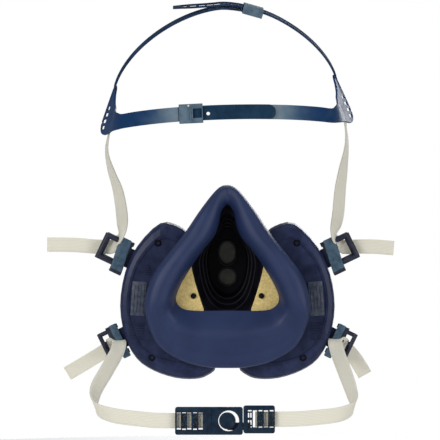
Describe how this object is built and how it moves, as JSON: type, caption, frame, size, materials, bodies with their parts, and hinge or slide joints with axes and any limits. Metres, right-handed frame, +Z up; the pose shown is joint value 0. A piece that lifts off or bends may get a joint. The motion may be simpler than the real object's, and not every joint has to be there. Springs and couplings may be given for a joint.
{
  "type": "half-mask respirator",
  "caption": "Painter's half-mask respirator with a soft face seal, filter housings on both cheeks, elastic straps, a head cradle and a neck clasp.",
  "frame": {"origin": "where the wearer's face meets the seal, on the mask's middle plane", "axes": "+X to the wearer's right, +Y forward out of the mask, +Z up"},
  "size_m": [0.2539, 0.2023, 0.3028],
  "materials": {
    "seal_rubber": "satin moulded elastomer",
    "frame_plastic": "matt moulded",
    "housing_plastic": "satin moulded",
    "valve_silicone": "matt silicone",
    "diaphragm_silicone": "matt silicone",
    "filter_felt": "fibrous felt",
    "carbon": "granular",
    "buckle_plastic": "satin moulded",
    "cradle_plastic": "flexible, slightly translucent",
    "elastic": "knitted elastic webbing"
  },
  "bodies": {
    "facepiece": {"face_seal": "seal_rubber", "breathing_cup": "frame_plastic", "filter_housing_left": "housing_plastic", "filter_housing_right": "housing_plastic", "filter_cover_left": "housing_plastic", "filter_cover_right": "housing_plastic", "filter_screen_left": "frame_plastic", "filter_screen_right": "frame_plastic", "carbon_bed_left": "carbon", "carbon_bed_right": "carbon", "particle_filter_left": "filter_felt", "particle_filter_right": "filter_felt", "inhalation_pin_left": "frame_plastic", "inhalation_pin_right": "frame_plastic", "exhalation_flap_bar": "frame_plastic", "exhalation_cover": "housing_plastic", "upper_strap_left": "elastic", "upper_strap_right": "elastic", "lower_strap_left": "elastic", "lower_strap_right": "elastic"},
    "inhalation_valve_left": {"inhalation_flap_left": "valve_silicone"},
    "inhalation_valve_right": {"inhalation_flap_right": "valve_silicone"},
    "exhalation_valve": {"exhalation_flap": "diaphragm_silicone"},
    "upper_clip_left": {"upper_buckle_left": "buckle_plastic", "upper_strap_tail_left": "elastic"},
    "upper_clip_right": {"upper_buckle_right": "buckle_plastic", "upper_strap_tail_right": "elastic"},
    "lower_clip_left": {"lower_buckle_left": "buckle_plastic", "lower_strap_tail_left": "elastic"},
    "lower_clip_right": {"lower_buckle_right": "buckle_plastic", "lower_strap_tail_right": "elastic"},
    "headband": {"cradle_left": "cradle_plastic"},
    "headband_right": {"cradle_right": "cradle_plastic"},
    "clasp": {"clasp_ring_plate": "buckle_plastic"},
    "clasp_hook": {"clasp_hook_plate": "buckle_plastic"}
  },
  "joints": [
    {"name": "inhalation_left_lift", "type": "hinge", "parent": "facepiece", "child": "inhalation_valve_left", "pos_m": [-0.0222, 0.0127, -0.00425], "axis": [-0.2667, 0, 0.9638], "range_deg": [0, 8], "stiffness_Nm_per_rad": 0.002},
    {"name": "inhalation_right_lift", "type": "hinge", "parent": "facepiece", "child": "inhalation_valve_right", "pos_m": [0.0222, 0.0127, -0.00425], "axis": [-0.2667, 0, -0.9638], "range_deg": [0, 8], "stiffness_Nm_per_rad": 0.002},
    {"name": "exhalation_open", "type": "hinge", "parent": "facepiece", "child": "exhalation_valve", "pos_m": [0, 0.0522, 0.033], "axis": [1, 0, 0], "range_deg": [0, 20], "stiffness_Nm_per_rad": 0.003},
    {"name": "upper_clip_left_swing", "type": "hinge", "parent": "facepiece", "child": "upper_clip_left", "pos_m": [-0.07548, 0.026, 0.01848], "axis": [0.4305, 0, 0.9026], "range_deg": [-18, 18]},
    {"name": "upper_clip_right_swing", "type": "hinge", "parent": "facepiece", "child": "upper_clip_right", "pos_m": [0.07548, 0.026, 0.01848], "axis": [-0.4305, 0, 0.9026], "range_deg": [-18, 18]},
    {"name": "lower_clip_left_swing", "type": "hinge", "parent": "facepiece", "child": "lower_clip_left", "pos_m": [-0.07905, 0.026, -0.0427], "axis": [-0.4384, 0, 0.8988], "range_deg": [-18, 18]},
    {"name": "lower_clip_right_swing", "type": "hinge", "parent": "facepiece", "child": "lower_clip_right", "pos_m": [0.07905, 0.026, -0.0427], "axis": [0.4384, 0, 0.8988], "range_deg": [-18, 18]},
    {"name": "headband_stretch", "type": "slide", "parent": "facepiece", "child": "headband", "axis": [0, -0.7151, 0.6991], "range_m": [0, 0.03], "stiffness_N_per_m": 300, "deforming": ["upper_strap_left", "upper_strap_right"]},
    {"name": "headband_size", "type": "slide", "parent": "headband", "child": "headband_right", "axis": [0.9988, 0, 0.0488], "range_m": [-0.002, 0.004]},
    {"name": "neck_strap_stretch", "type": "slide", "parent": "facepiece", "child": "clasp", "axis": [0, -0.8601, -0.5101], "range_m": [0, 0.03], "stiffness_N_per_m": 300, "deforming": ["lower_strap_left", "lower_strap_right"]},
    {"name": "clasp_release", "type": "slide", "parent": "clasp", "child": "clasp_hook", "axis": [0, 1, 0], "range_m": [0, 0.01]}
  ]
}
